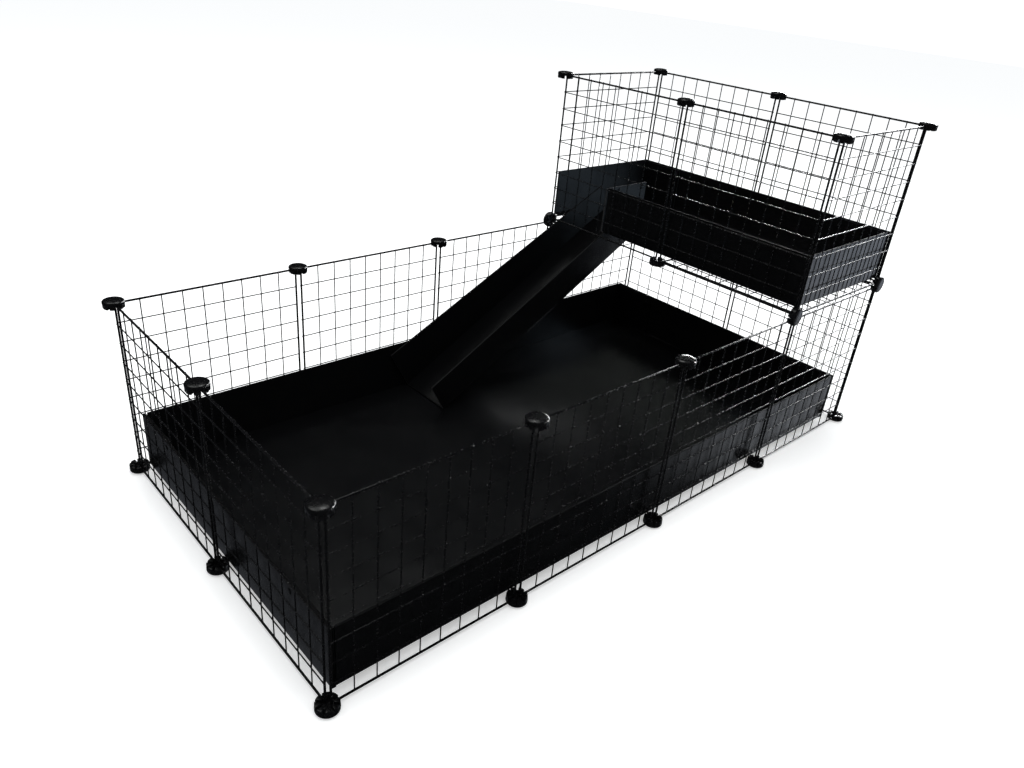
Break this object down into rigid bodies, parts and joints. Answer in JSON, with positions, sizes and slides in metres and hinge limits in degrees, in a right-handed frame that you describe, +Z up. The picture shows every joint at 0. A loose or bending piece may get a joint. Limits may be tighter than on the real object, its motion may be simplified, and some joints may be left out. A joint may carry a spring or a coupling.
{
  "type": "rodent cage",
  "caption": "Long open-topped wire grid cage for small rodents, with a sheet plastic tray, and a ramp up to a raised walled tray at one end.",
  "frame": {"origin": "midway along the length and the width, at the flats of the lower connectors, on which the cage stands", "axes": "+X towards the end with the raised tray, +Y towards the long side with the ramp, +Z up"},
  "size_m": [1.49, 0.764, 0.731],
  "materials": {
    "wire": "satin",
    "connector": "satin",
    "sheet": "gloss",
    "rivet": "satin"
  },
  "bodies": {
    "cage": {"front_panel_1": "wire", "front_panel_2": "wire", "front_panel_3": "wire", "front_panel_4": "wire", "back_panel_1": "wire", "back_panel_2": "wire", "back_panel_3": "wire", "back_panel_4": "wire", "left_panel_front": "wire", "right_panel_front": "wire", "loft_inner_panel_front": "wire", "loft_right_panel_front": "wire", "left_panel_back": "wire", "right_panel_back": "wire", "loft_inner_panel_back": "wire", "loft_right_panel_back": "wire", "loft_front_panel": "wire", "loft_back_panel": "wire", "loft_floor_panel": "wire", "base_connectors": "connector", "wall_connectors": "connector", "loft_floor_connectors": "connector", "loft_top_connectors": "connector", "base_tray": "sheet", "ramp": "sheet", "base_tray_rivets": "rivet"},
    "raised_tray": {"loft_tray": "sheet", "loft_tray_rivets": "rivet", "guard_rivets": "rivet"}
  },
  "joints": [
    {"name": "raised_tray_lift", "type": "slide", "parent": "cage", "child": "raised_tray", "axis": [0, 0, 1], "range_m": [0, 0.22]}
  ]
}
